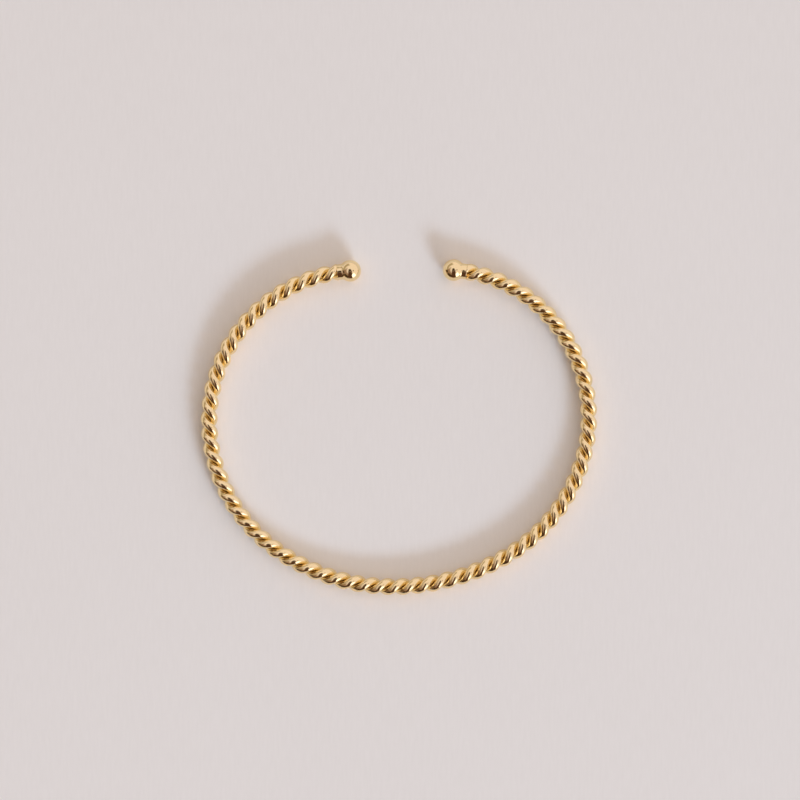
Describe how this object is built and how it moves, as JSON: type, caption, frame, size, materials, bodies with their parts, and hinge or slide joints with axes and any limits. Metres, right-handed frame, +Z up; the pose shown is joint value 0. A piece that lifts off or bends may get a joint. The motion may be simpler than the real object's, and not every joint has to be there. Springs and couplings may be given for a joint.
{
  "type": "twisted wire bangle with ball ends",
  "caption": "Open bangle of round polished gold wires twisted into a slim rope, with a small ball and neck closing each end.",
  "frame": {"origin": "middle of the bangle's bounding box, on the surface that it lies on", "axes": "+X across the bangle's width towards the right ball, +Y towards the gap between the balls, +Z up from the surface that it lies on"},
  "size_m": [0.0634, 0.0538, 0.0035],
  "materials": {
    "wire": "polished pale gold plate over drawn brass wire",
    "ball_end": "mirror-polished pale gold plate over brass"
  },
  "bodies": {
    "root": {"twisted_wire_a": "wire", "twisted_wire_b": "wire", "ball_end_left": "ball_end", "ball_end_right": "ball_end"}
  },
  "joints": []
}
